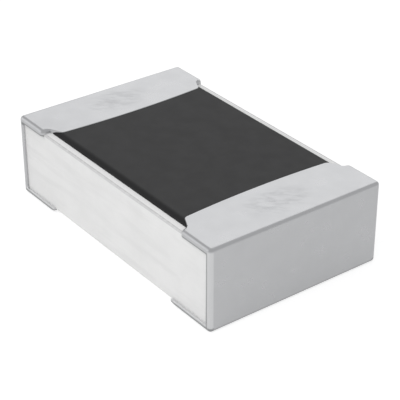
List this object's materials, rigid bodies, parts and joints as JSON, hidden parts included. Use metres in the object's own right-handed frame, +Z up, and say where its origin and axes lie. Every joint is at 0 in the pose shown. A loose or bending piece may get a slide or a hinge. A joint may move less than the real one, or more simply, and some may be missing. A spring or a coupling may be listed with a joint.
{
  "type": "smd chip resistor",
  "caption": "Flat white ceramic bar with wrap-around tin solder terminations at both ends and a dark overcoat over a printed resistive film; soldered to a circuit board.",
  "frame": {"origin": "middle of the chip in plan, in the plane of the two solder faces", "axes": "+X from the left to the right termination, +Y across the chip, +Z up from the board"},
  "size_m": [0.002, 0.0012, 0.0005],
  "materials": {
    "alumina": "matte",
    "overcoat_epoxy": "satin",
    "passivation_glass": "gloss",
    "ruthenium_film": "satin",
    "printed_silver": "matte",
    "nickel_plate": "satin",
    "tin_plate": "satin"
  },
  "bodies": {
    "root": {"ceramic_substrate": "alumina", "protective_overcoat": "overcoat_epoxy", "glass_passivation": "passivation_glass", "resistive_film": "ruthenium_film", "top_electrode_left": "printed_silver", "top_electrode_right": "printed_silver", "bottom_electrode_left": "printed_silver", "bottom_electrode_right": "printed_silver", "end_electrode_left": "printed_silver", "end_electrode_right": "printed_silver", "nickel_barrier_left": "nickel_plate", "nickel_barrier_right": "nickel_plate", "tin_plating_left": "tin_plate", "tin_plating_right": "tin_plate"}
  },
  "joints": []
}
